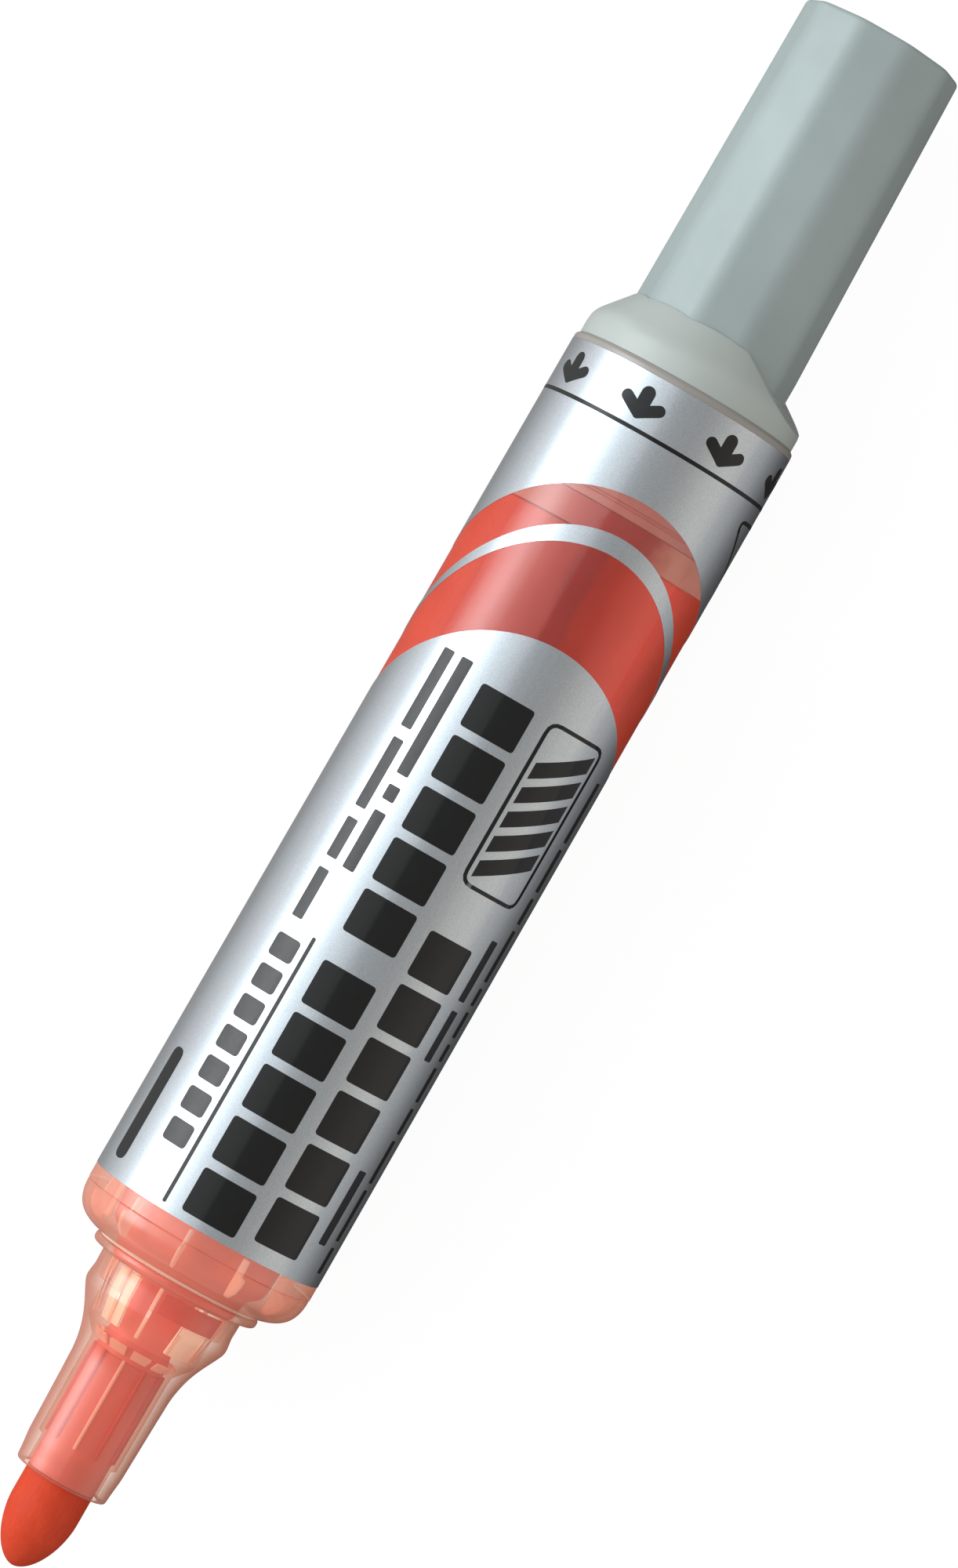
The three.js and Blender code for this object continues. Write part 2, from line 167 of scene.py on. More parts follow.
def sectors(name, profile, ranges, materials, sharp=30):
    """Stretches of a turned piece, one for each (start, end) pair of angles in degrees."""
    points, faces = [], []
    count, steps = len(profile), SECTOR_COLUMNS
    for start, end in ranges:
        base = len(points)
        for i in range(steps + 1):
            angle = math.radians(start + (end - start) * i / steps)
            points += [at(s, r, angle) for s, r in profile]
        for i in range(steps):
            a, b = base + i * count, base + (i + 1) * count
            for j in range(count):
                k = (j + 1) % count
                faces.append((a + j, b + j, b + k, a + k))
        faces.append(tuple(range(base, base + count)))
        faces.append(tuple(reversed(range(base + steps * count, base + (steps + 1) * count))))
    return add_object(name, points, faces, TANK, materials, sharp=sharp)


def plates(name, outline, width, turns, material):
    """Flat plates that stand along the axis, from one (station, radius) outline."""
    points, faces = [], []
    count = len(outline)
    for turn in turns:
        base = len(points)
        side = Vector((0, math.cos(turn), -math.sin(turn))) * width / 2 * MM
        for sign in (-1, 1):
            points += [at(s, r, turn) + side * sign for s, r in outline]
        faces.append(tuple(range(base, base + count)))
        faces.append(tuple(reversed(range(base + count, base + 2 * count))))
        for j in range(count):
            k = (j + 1) % count
            faces.append((base + j, base + k, base + count + k, base + count + j))
    piece = add_object(name, points, faces, TANK, [material], sharp=40)
    soften = piece.modifiers.new("edges", "BEVEL")
    soften.width = PLATE_EDGE * MM
    soften.segments = 2
    soften.limit_method = "ANGLE"
    return piece


def rounded(corners, steps=5, closed=False):
    """A polyline with rounded corners from (x, y, radius) corners."""
    result = []
    last = len(corners) - 1
    for i, (x, y, radius) in enumerate(corners):
        here = Vector((x, y))
        if radius == 0 or (not closed and i in (0, last)):
            result.append((x, y))
            continue
        before = Vector(corners[i - 1][:2]) - here
        after = Vector(corners[(i + 1) % len(corners)][:2]) - here
        reach = min(radius, before.length * 0.49, after.length * 0.49)
        start = here + before.normalized() * reach
        end = here + after.normalized() * reach
        for k in range(steps + 1):
            t = k / steps
            point = start * (1 - t) ** 2 + here * 2 * t * (1 - t) + end * t * t
            result.append((point.x, point.y))
    return result


def fan(centre, radius, start, end):
    """Points of an arc, angles in degrees from the first axis toward the second."""
    points = []
    for i in range(ARC_STEPS + 1):
        turn = math.radians(start + (end - start) * i / ARC_STEPS)
        points.append((centre[0] + radius * math.cos(turn), centre[1] + radius * math.sin(turn)))
    return points


def bezier(a, b, c, d, steps):
    points = []
    for i in range(steps + 1):
        t = i / steps
        u = 1 - t
        weights = (u**3, 3 * u * u * t, 3 * u * t * t, t**3)
        points.append(tuple(sum(w * p[k] for w, p in zip(weights, (a, b, c, d))) for k in (0, 1)))
    return points


# ---- Materials ----

MOULDED_DRIFT, MOULDED_GRAIN = 0.05, 0.012  # share of the colour, and depth of the texture
CLEAR_POLISH = 0.06  # roughness of clear plastic
CLEAR_GLOSS = 0.048, 0.4  # how much it reflects face on, and how much more at a slant
INK_REACH = 8 * MM  # from the axis to where the ink's colour stops changing


class Nodes:
    """A material's node tree, with short calls to build it."""

    def __init__(self, name):
        self.material = bpy.data.materials.new(name)
        self.material.use_nodes = True
        self.tree = self.material.node_tree
        self.tree.nodes.clear()
        self.output = self.add("ShaderNodeOutputMaterial")
        self.coordinates = self.add("ShaderNodeTexCoord").outputs["Object"]

    def add(self, kind, **settings):
        node = self.tree.nodes.new(kind)
        for name, value in settings.items():
            setattr(node, name, value)
        return node

    def link(self, source, target):
        self.tree.links.new(source, target)

    def stretched(self, scale):
        """The coordinates, scaled by a different amount along each axis."""
        node = self.add("ShaderNodeMapping")
        node.inputs["Scale"].default_value = scale
        self.link(self.coordinates, node.inputs["Vector"])
        return node.outputs["Vector"]

    def noise(self, scale, detail=3.0, roughness=0.55, vector=None):
        node = self.add("ShaderNodeTexNoise")
        node.inputs["Scale"].default_value = scale
        node.inputs["Detail"].default_value = detail
        node.inputs["Roughness"].default_value = roughness
        self.link(vector or self.coordinates, node.inputs["Vector"])
        return node.outputs["Fac"]

    def ramp(self, factor, stops):
        """A colour ramp from (position, colour) stops."""
        node = self.add("ShaderNodeValToRGB")
        elements = node.color_ramp.elements
        for element, (position, colour) in zip(elements, (stops[0], stops[-1])):
            element.position = position
            element.color = (*colour, 1)
        for position, colour in stops[1:-1]:
            elements.new(position).color = (*colour, 1)
        self.link(factor, node.inputs["Fac"])
        return node.outputs["Color"]

    def spread(self, factor, low, high, start=0.3, end=0.7):
        """A number between low and high as the factor goes from start to end."""
        node = self.add("ShaderNodeMapRange")
        node.inputs["From Min"].default_value = start
        node.inputs["From Max"].default_value = end
        node.inputs["To Min"].default_value = low
        node.inputs["To Max"].default_value = high
        self.link(factor, node.inputs["Value"])
        return node.outputs["Result"]

    def math(self, operation, a, b=None):
        node = self.add("ShaderNodeMath", operation=operation)
        for socket, value in zip(node.inputs, (a, b)):
            if isinstance(value, (int, float)):
                socket.default_value = value
            elif value is not None:
                self.link(value, socket)
        return node.outputs["Value"]

    def bump(self, height, distance, strength=0.5):
        node = self.add("ShaderNodeBump")
        node.inputs["Strength"].default_value = strength
        node.inputs["Distance"].default_value = distance
        self.link(height, node.inputs["Height"])
        return node.outputs["Normal"]

    def across(self, reach):
        """0 to 1 from `reach` on the left of the axis to `reach` on its right."""
        place = self.add("ShaderNodeSeparateXYZ")
        self.link(self.coordinates, place.inputs[0])
        return self.spread(place.outputs["Y"], 0.0, 1.0, -reach, reach)

    def facing(self):
        node = self.add("ShaderNodeLayerWeight")
        node.inputs["Blend"].default_value = 0.5
        return node.outputs["Facing"]

    def mix(self, factor, first, second):
        node = self.add("ShaderNodeMixShader")
        self.link(factor, node.inputs["Fac"])
        self.link(first, node.inputs[1])
        self.link(second, node.inputs[2])
        return node.outputs["Shader"]

    def principled(self, colour, roughness, normal=None, **plain):
        """A Principled shader. Colour and roughness are sockets or plain values."""
        node = self.add("ShaderNodeBsdfPrincipled")
        for name, value in (("Base Color", colour), ("Roughness", roughness)):
            if isinstance(value, (tuple, float)):
                node.inputs[name].default_value = (*value, 1) if isinstance(value, tuple) else value
            else:
                self.link(value, node.inputs[name])
        if normal is not None:
            self.link(normal, node.inputs["Normal"])
        for name, value in plain.items():
            node.inputs[name.replace("_", " ")].default_value = value
        return node.outputs["BSDF"]

    def finish(self, shader):
        self.link(shader, self.output.inputs["Surface"])
        return self.material


def shades(colour, change):
    """A darker and a lighter version of a colour."""
    return tuple(c * (1 - change) for c in colour), tuple(min(1, c * (1 + change)) for c in colour)


def moulded(name, colour, roughness, **plain):
    """Satin moulded plastic: faint colour drift, uneven gloss and a fine spark-eroded grain."""
    nodes = Nodes(name)
    dark, light = shades(colour, MOULDED_DRIFT)
    tint = nodes.ramp(nodes.noise(110, 4), [(0.3, dark), (0.7, light)])
    gloss = nodes.spread(nodes.noise(420, 2), roughness - 0.04, roughness + 0.05)
    normal = nodes.bump(nodes.noise(5200, 2), MOULDED_GRAIN * MM, 0.6)
    return nodes.finish(nodes.principled(tint, gloss, normal, **plain))


def clear(name, tint, edge_tint, haze, haze_share, slants=(0.1, 0.9)):
    """
    Clear tinted plastic in its outer skin. Light goes straight on, and takes a deeper tint where
    the wall is seen at a slant. `haze` is the colour of what scatters in the wall, and its share
    grows between the two `slants`.
    """
    nodes = Nodes(name)
    facing = nodes.facing()
    through = nodes.add("ShaderNodeBsdfTransparent")
    drift = nodes.spread(nodes.noise(190, 3), -0.06, 0.06)
    slant = nodes.math("ADD", facing, drift)
    tints = nodes.ramp(slant, [(0.0, tint), (0.25, tint), (0.7, edge_tint)])
    nodes.link(tints, through.inputs["Color"])
    dark, light = shades(haze, 0.08)
    scatter = nodes.principled(
        nodes.ramp(nodes.noise(260, 3), [(0.3, dark), (0.7, light)]), 0.6, Specular_IOR_Level=0.0
    )
    body = nodes.mix(nodes.spread(facing, *haze_share, *slants), through.outputs["BSDF"], scatter)
    shine = nodes.add("ShaderNodeBsdfGlossy")
    shine.inputs["Color"].default_value = (1, 1, 1, 1)
    polish = nodes.spread(nodes.noise(600, 2), CLEAR_POLISH * 0.7, CLEAR_POLISH * 1.4)
    nodes.link(polish, shine.inputs["Roughness"])
    nodes.link(nodes.bump(nodes.noise(500, 2), 0.006 * MM, 0.5), shine.inputs["Normal"])
    fresnel = nodes.math("MULTIPLY_ADD", nodes.math("POWER", facing, 5.0), CLEAR_GLOSS[1])
    fresnel.node.inputs[2].default_value = CLEAR_GLOSS[0]
    return nodes.finish(nodes.mix(fresnel, body, shine.outputs["BSDF"]))


def clear_inside(name, tint, haze):
    """The inner skin of a clear wall, which only adds its tint and a little haze."""
    nodes = Nodes(name)
    drift = nodes.noise(210, 3)
    through = nodes.add("ShaderNodeBsdfTransparent")
    dark, light = shades(tint, 0.03)
    nodes.link(nodes.ramp(drift, [(0.3, dark), (0.7, light)]), through.inputs["Color"])
    scatter = nodes.principled(haze, nodes.spread(drift, 0.5, 0.7), Specular_IOR_Level=0.0)
    share = nodes.spread(drift, 0.02, 0.06)
    return nodes.finish(nodes.mix(share, through.outputs["BSDF"], scatter))


def silver_film():
    """Silver ink behind clear film: fine flake, faint drag lines along the barrel, glossy coat."""
    nodes = Nodes("silver_film")
    flake = nodes.noise(9000, 1)
    drag = nodes.noise(1, 3, vector=nodes.stretched((60, 2600, 2600)))
    colour = nodes.ramp(flake, [(0.3, (0.40, 0.43, 0.46)), (0.7, (0.48, 0.51, 0.545))])
    gloss = nodes.spread(drag, 0.30, 0.36)
    normal = nodes.bump(flake, 0.003 * MM, 0.35)
    plain = {"Metallic": 0.9, "Coat_Weight": 1.0, "Coat_Roughness": 0.05}
    return nodes.finish(nodes.principled(colour, gloss, normal, **plain))


def print_ink(name, colour):
    """Screen-printed ink: almost even, with a faint mottle, under the film's gloss."""
    nodes = Nodes(name)
    dark, light = shades(colour, 0.15)
    tint = nodes.ramp(nodes.noise(1500, 2), [(0.3, dark), (0.7, light)])
    gloss = nodes.spread(nodes.noise(900, 2), 0.5, 0.6)
    plain = {"Specular_IOR_Level": 0.1, "Coat_Weight": 0.5, "Coat_Roughness": 0.05}
    return nodes.finish(nodes.principled(tint, gloss, **plain))


def liquid_ink():
    """
    Red ink in the tank, with painted light and shade across its width: a darker band near the
    middle is a painted shadow of the rod, and the lighter sides and a slight glow toward them are
    painted light that stands for daylight the clear wall gathers.
    """
    nodes = Nodes("liquid_ink")
    swirl = nodes.noise(1, 4, vector=nodes.stretched((110, 300, 300)))
    blend = nodes.math("ADD", nodes.across(INK_REACH), nodes.spread(swirl, -0.03, 0.03))
    # Painted shade: the dark stops near the middle are a painted shadow of the rod; the lighter
    # outer stops are painted light.
    colour = nodes.ramp(
        blend,
        [
            (0.0, (0.60, 0.056, 0.024)),
            (0.25, (0.48, 0.042, 0.024)),
            (0.45, (0.48, 0.040, 0.026)),
            (0.48, (0.37, 0.032, 0.024)),
            (0.54, (0.38, 0.030, 0.021)),
            (0.57, (0.50, 0.034, 0.016)),
            (0.8, (0.70, 0.046, 0.018)),
            (1.0, (0.84, 0.060, 0.022)),
        ],
    )
    # Painted light: a glow that grows toward both sides.
    glow = nodes.ramp(
        blend,
        [
            (0.0, (0.14, 0.012, 0.006)),
            (0.4, (0.02, 0.0, 0.0)),
            (0.6, (0.03, 0.0, 0.0)),
            (1.0, (0.20, 0.017, 0.008)),
        ],
    )
    gloss = nodes.spread(swirl, 0.3, 0.5)
    shader = nodes.principled(colour, gloss, Specular_IOR_Level=0.1, Emission_Strength=1.0)
    nodes.link(glow, shader.node.inputs["Emission Color"])
    return nodes.finish(shader)


def wet_with_painted_glow(name, colour, glow, change=0.1):
    """Plastic wet with ink. Its slight glow is painted light that stands for light through the
    walls around it.
    """
    nodes = Nodes(name)
    dark, light = shades(colour, change)
    blotch = nodes.noise(170, 4)
    tint = nodes.ramp(blotch, [(0.3, dark), (0.7, light)])
    shader = nodes.principled(tint, nodes.spread(blotch, 0.3, 0.5), Emission_Strength=1.0)
    # Painted light: the glow is a dim copy of the plastic's own colour.
    low, high = shades(tuple(c * glow for c in colour), change)
    nodes.link(nodes.ramp(blotch, [(0.3, low), (0.7, high)]), shader.node.inputs["Emission Color"])
    return nodes.finish(shader)


def wetted_skirt():
    """The plug's thin skirt in front of the ink: ink red in the middle, paler on both sides."""
    nodes = Nodes("skirt_wet")
    mottle = nodes.spread(nodes.noise(420, 4), -0.04, 0.04)
    blend = nodes.math("ADD", nodes.across(INK_REACH), mottle)
    stops = [
        (0.0, (0.60, 0.22, 0.17)),
        (0.3, (0.55, 0.12, 0.10)),
        (0.46, (0.52, 0.10, 0.09)),
        (0.48, (0.47, 0.055, 0.045)),
        (0.70, (0.50, 0.060, 0.048)),
        (0.76, (0.62, 0.16, 0.12)),
        (0.84, (0.80, 0.32, 0.23)),
        (1.0, (0.85, 0.36, 0.26)),
    ]
    return nodes.finish(nodes.principled(nodes.ramp(blend, stops), 0.5, Specular_IOR_Level=0.2))


def felt():
    """Sintered fibre soaked in ink: mottled red with a dense fibre grain along the nib."""
    nodes = Nodes("nib_felt")
    fibre = nodes.noise(1, 4, 0.7, nodes.stretched((900, 5200, 5200)))
    patches = nodes.noise(520, 4)
    blend = nodes.math("MULTIPLY", fibre, patches)
    stops = [(0.1, (0.57, 0.044, 0.013)), (0.25, (0.63, 0.053, 0.017)), (0.4, (0.68, 0.066, 0.024))]
    gloss = nodes.spread(patches, 0.5, 0.75)
    normal = nodes.bump(fibre, 0.01 * MM, 0.4)
    shader = nodes.principled(nodes.ramp(blend, stops), gloss, normal, Specular_IOR_Level=0.2)
    return nodes.finish(shader)


def steel():
    nodes = Nodes("spring_steel")
    drawn = nodes.noise(1, 3, vector=nodes.stretched((3000, 900, 900)))
    colour = nodes.ramp(drawn, [(0.3, (0.45, 0.45, 0.46)), (0.7, (0.62, 0.62, 0.63))])
    return nodes.finish(nodes.principled(colour, nodes.spread(drawn, 0.2, 0.38), Metallic=1.0))


GREY = moulded("button_grey", (0.315, 0.365, 0.36), 0.42)
COLLAR_GREY = moulded("collar_grey", (0.42, 0.45, 0.425), 0.36)
LIP_GREY = moulded("lip_grey", (0.29, 0.265, 0.24), 0.35, Coat_Weight=0.4, Coat_Roughness=0.1)
NATURAL = moulded("natural_plastic", (0.72, 0.66, 0.58), 0.4)
# Ink-stained plastic; its slight glow is painted light.
STAINED = wet_with_painted_glow("stained_plastic", (0.56, 0.19, 0.16), 0.1)
RUBBER = moulded("seal_rubber", (0.03, 0.03, 0.032), 0.75)
SILVER = silver_film()
PRINT_BLACK = print_ink("print_black", (0.004, 0.004, 0.004))
PRINT_GREY = print_ink("print_grey", (0.03, 0.026, 0.026))
# Clear plastics: tint face on, tint at a slant, colour of the haze, and its share face on and
# at a slant.
WALL_TINTS = (1.0, 0.97, 0.95), (0.95, 0.85, 0.8)
WALL_HAZE, WALL_SLANTS = (0.01, 0.95), (0.3, 0.5)
BARREL_CLEAR = clear("barrel_clear", *WALL_TINTS, (0.58, 0.055, 0.025), WALL_HAZE, WALL_SLANTS)
BARREL_PLUG = clear("barrel_plug", *WALL_TINTS, (0.62, 0.24, 0.18), WALL_HAZE, WALL_SLANTS)
BARREL_INSIDE = clear_inside("barrel_inside", (0.97, 0.96, 0.95), (0.8, 0.3, 0.22))
SKIRT_WET = wetted_skirt()
NOSE_CLEAR = clear(
    "nose_clear", (0.97, 0.90, 0.85), (0.86, 0.56, 0.44), (0.86, 0.38, 0.28), (0.26, 0.5)
)
NECK_CLEAR = clear(
    "neck_clear", (0.98, 0.93, 0.89), (0.74, 0.52, 0.42), (0.80, 0.37, 0.28), (0.10, 0.5)
)
NOSE_INSIDE = clear_inside("nose_inside", (0.97, 0.84, 0.78), (0.95, 0.45, 0.33))
TUBE_INSIDE = clear_inside("tube_inside", (0.90, 0.69, 0.60), (0.90, 0.42, 0.30))
NOSE_PALE = clear(
    "nose_pale", (0.98, 0.95, 0.92), (0.95, 0.85, 0.75), (1.0, 0.80, 0.66), (0.5, 0.8)
)
# Plastics wet with ink. Each glows a little, and that glow is painted light for light through the
# clear walls around them.
RIB_PALE = wet_with_painted_glow("rib_pale", (0.92, 0.56, 0.45), 0.3)
# A pale cream with a stronger glow: painted light for the two light strips inside the neck.
PAINTED_LIGHT_CREAM = wet_with_painted_glow("painted_light_cream", (1.0, 0.78, 0.62), 0.3)
CORE_PINK = wet_with_painted_glow("core_pink", (0.88, 0.20, 0.155), 0.12)
CORE_RED = wet_with_painted_glow("core_red", (0.80, 0.10, 0.07), 0.1, 0.15)
INK = liquid_ink()
FELT = felt()
STEEL = steel()


# ---- The button and its collar ----

BUTTON_SIDES = 10
BUTTON_CORNER = math.radians(17)
BUTTON_END, BUTTON_BASE = 6.34, 6.70  # circumradius of the decagon, before its corners are rounded
BUTTON_FILLET = 2.4
BUTTON_SHAFT = 27.6
BUTTON_EDGE = 0.38
BUTTON_LEAN = (-0.2, 0.05)  # how far the button sits off the axis at its end and at its base
# The hollow for the spring, and in its end the boss that holds the rod.
BUTTON_INSIDE = (
    (BUTTON_SHAFT, 5.1),
    (1.4, 5.1),
    (1.4, 2.2),
    (12.1, 2.2),
    (12.1, 1.25),
    (3.0, 1.25),
    (3.0, 0.001),
)
COLLAR_MOUTH = 24.5
SECTOR = 2 * math.pi / BUTTON_SIDES


def decagon_radius(angle, circumradius, fillet):
    """Distance from the axis to a decagon with rounded corners."""
    turn = (angle - BUTTON_CORNER + SECTOR / 2) % SECTOR - SECTOR / 2
    flat = circumradius * math.cos(SECTOR / 2) / math.cos(SECTOR / 2 - abs(turn))
    centre = circumradius - fillet / math.cos(SECTOR / 2)
    reach = fillet**2 - (centre * math.sin(turn)) ** 2
    if reach <= 0:
        return flat
    curve = centre * math.cos(turn) + math.sqrt(reach)
    tangent = math.atan2(fillet * math.sin(SECTOR / 2), centre + fillet * math.cos(SECTOR / 2))
    return curve if abs(turn) < tangent else flat


def make_button():
    columns = 200
    rows = []
    for i in range(7):
        turn = math.radians(90 * i / 6)
        rows.append((BUTTON_EDGE * (1 - math.cos(turn)), BUTTON_EDGE * (1 - math.sin(turn))))
    rows += [(s, 0.0) for s in (1, 4, 8, 12, 16, 20, COLLAR_MOUTH, BUTTON_SHAFT)]
    face = ((0.12, 0.001), (0.12, 2.9), (0.0, 3.1))
    rings = [[at(s, r, a) for a in angles(columns)] for s, r in face]
    for station, inset in rows:
        share = min(station / COLLAR_MOUTH, 1)
        size = BUTTON_END + (BUTTON_BASE - BUTTON_END) * share - inset / math.cos(SECTOR / 2)
        lean = BUTTON_LEAN[0] + (BUTTON_LEAN[1] - BUTTON_LEAN[0]) * share
        ring = []
        for a in angles(columns):
            point = at(station, decagon_radius(a, size, BUTTON_FILLET - inset), a)
            ring.append(point + Vector((0, lean * MM, 0)))
        rings.append(ring)
    for station, radius in BUTTON_INSIDE:
        rings.append([at(station, radius, a) for a in angles(columns)])
    button = loft("button_shell", rings, PLUNGER, [GREY], sharp=40)
    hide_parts("button")


RELIEF_RISE, RELIEF_SLOPE_Y, RELIEF_SLOPE_Z = 22.02, 0.643, 0.163
RELIEF_BLEND = 0.05
COLLAR_RADIUS = 8.70
COLLAR_FRONT = 28.9
COLLAR_LEDGE = 28.6  # where its hole meets its underside


def make_collar():
    mouth = 6.62
    outline = [(COLLAR_MOUTH, 5.9), (COLLAR_MOUTH + 0.01, mouth - 0.08)]
    outline += [(COLLAR_MOUTH + 0.08, mouth)]
    outline += bezier((26.5, 8.20), (26.9, 8.50), (27.2, 8.68), (27.9, COLLAR_RADIUS), 12)

    def top(radius):
        for (s0, r0), (s1, r1) in zip(outline, outline[1:]):
            if radius <= r1:
                return s0 + (s1 - s0) * (radius - r0) / (r1 - r0)
        return outline[-1][0]

    def height(radius, angle):
        relief = RELIEF_RISE + RELIEF_SLOPE_Y * radius * math.sin(angle)
        relief += RELIEF_SLOPE_Z * radius * math.cos(angle)
        gap = top(radius) - relief
        return relief + (gap + math.sqrt(gap * gap + RELIEF_BLEND**2)) / 2

    def hole(angle):
        return decagon_radius(angle, BUTTON_BASE + 0.06, BUTTON_FILLET)

    columns = 288
    steps = 40
    rings = [[at(COLLAR_LEDGE, hole(a), a) for a in angles(columns)]]
    rings.append([at(height(hole(a), a) + 0.06, hole(a), a) for a in angles(columns)])
    soft = 0.02
    rings.append([at(height(hole(a) + soft, a) + soft, hole(a) + soft, a) for a in angles(columns)])
    for k in range(1, steps + 1):
        ring = []
        for a in angles(columns):
            radius = hole(a) + 0.05 + (COLLAR_RADIUS - hole(a) - 0.05) * k / steps
            ring.append(at(height(radius, a), radius, a))
        rings.append(ring)
    wall = [
        (COLLAR_FRONT - 0.02, COLLAR_RADIUS),
        (COLLAR_FRONT, COLLAR_RADIUS - 0.02),
        (COLLAR_FRONT, 7.4),
        (COLLAR_LEDGE, 7.2),
    ]
    for station, radius in wall:
        rings.append([at(station, radius, a) for a in angles(columns)])
    collar = loft("collar_ring", rings, TANK, [COLLAR_GREY], closed=True, sharp=35)
    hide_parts("collar")


# ---- The barrel, its label and what shows through the window ----

WINDOW_APEX = math.radians(9)
# Each edge of the window is a slanted plane: its station at the apex, and how far it falls
# behind for each unit of 1 - cos(angle from the apex).
WINDOW_EDGES = ((37.77, 7.48), (40.70, 10.1), (42.10, 9.75), (49.68, 7.76))


def window_edge(index):
    station, fall = WINDOW_EDGES[index]
    return lambda angle: station + fall * (1 - math.cos(angle - WINDOW_APEX))


def make_label():
    bands = (
        ("label_rear", lambda a: LABEL_REAR, window_edge(0), 3),
        ("label_stripe", window_edge(1), window_edge(2), 1),
        ("label_front", window_edge(3), lambda a: LABEL_FRONT, 8),
    )
    for name, start, end, steps in bands:
        rings = []
        for depth, order in ((0.0, range(steps + 1)), (FILM, range(steps, -1, -1))):
            for k in order:
                share = k / steps
                ring = []
                for a in angles():
                    station = start(a) * (1 - share) + end(a) * share
                    ring.append(at(station, label_radius(station) - depth, a))
                rings.append(ring)
        band = loft(name, rings, TANK, [SILVER], closed=True)
        band.visible_shadow = False  # light that bends through the clear wall reaches under it
        band.visible_diffuse = False
        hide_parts("label")


TUBE_BORE = 7.8
PLUG_REAR, PLUG_WEB_FRONT, PLUG_RIM_FRONT = 35.4, 39.3, 41.5
ROD_HOLE = 1.2
BARREL_SKIN = FILM + 0.012  # how far the barrel's outside lies below the label's


def make_barrel():
    front_lip, bore = 9.10, TUBE_BORE + 0.05
    window = (36.0, 68.0)

    def skin(station):
        return label_radius(station) - BARREL_SKIN

    profile = rounded(
        [
            (BARREL_REAR, bore, 0),
            (BARREL_REAR, COLLAR_RADIUS + 0.01, 0),
            (BARREL_REAR + 0.2, LABEL_REAR_RADIUS - 0.02, 0.12),
            (LABEL_REAR - 0.02, LABEL_REAR_RADIUS - 0.01, 0.02),
            (LABEL_REAR - 0.01, skin(LABEL_REAR), 0),
            (window[0], skin(window[0]), 0),
            (PLUG_RIM_FRONT, skin(PLUG_RIM_FRONT), 0),
            (window[1], skin(window[1]), 0),
            (LABEL_FRONT + 0.01, skin(LABEL_FRONT), 0),
            (LABEL_FRONT + 0.02, front_lip, 0.03),
            (BARREL_FRONT, front_lip, 0.06),
            (BARREL_FRONT, bore, 0),
        ]
    )

    def paint(i):
        station = (profile[i][0] + profile[(i + 1) % len(profile)][0]) / 2
        radius = (profile[i][1] + profile[(i + 1) % len(profile)][1]) / 2
        if radius < TUBE_BORE + 0.1 or station > BARREL_FRONT - 0.01:
            return 1
        if station < LABEL_REAR:
            return 2
        if window[0] < station < PLUG_RIM_FRONT:
            return 4
        return 3 if station > LABEL_FRONT else 0

    materials = [BARREL_CLEAR, BARREL_INSIDE, LIP_GREY, NOSE_CLEAR, BARREL_PLUG]
    barrel = turned("barrel_tube", profile, materials, paint=paint)
    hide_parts("barrel")
    rear, front, outer = BARREL_REAR + 0.1, 35.0, TUBE_BORE - 0.05
    liner = [(rear, 7.0), (rear, outer), (front, outer), (front, 7.0)]
    turned("collar_skirt", liner, [COLLAR_GREY])


def make_window_contents():
    bore = TUBE_BORE - 0.03
    web = rounded(
        [
            (PLUG_REAR, ROD_HOLE, 0),
            (PLUG_REAR, bore, 0.1),
            (38.38, bore, 0.1),
            (38.44, bore - 0.2, 0.06),
            (38.58, bore - 0.2, 0.06),
            (38.64, bore, 0.1),
            (PLUG_WEB_FRONT, bore, 0.2),
            (PLUG_WEB_FRONT, ROD_HOLE, 0),
        ]
    )
    plug = turned("tank_plug", web, [STAINED])
    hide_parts("rear_plug")
    wall = 0.35
    skirt = [
        (PLUG_WEB_FRONT + 0.02, bore - wall, 0),
        (PLUG_WEB_FRONT + 0.02, bore, 0),
        (PLUG_RIM_FRONT, bore, 0.1),
        (PLUG_RIM_FRONT, bore - wall, 0.1),
    ]
    turned("tank_plug_skirt", rounded(skirt), [SKIRT_WET])
    ink_rear, ink_front = PLUG_WEB_FRONT + 0.05, span("ink")[1]
    fill = [
        (ink_rear, ROD_HOLE, 0),
        (ink_rear, bore - wall - 0.05, 0.3),
        (PLUG_RIM_FRONT + 0.05, bore - wall - 0.05, 0.1),
        (PLUG_RIM_FRONT + 0.1, bore, 0.1),
        (ink_front, bore, 0.3),
        (ink_front, ROD_HOLE, 0),
    ]
    ink = turned("ink_fill", rounded(fill), [INK])
    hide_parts("ink")


# ---- The print on the label ----

PRINT_LIFT = 0.012
PRINT_DEPTH = 0.02
PRINT_STEP = 0.5  # width of the facets that bend a print around the label


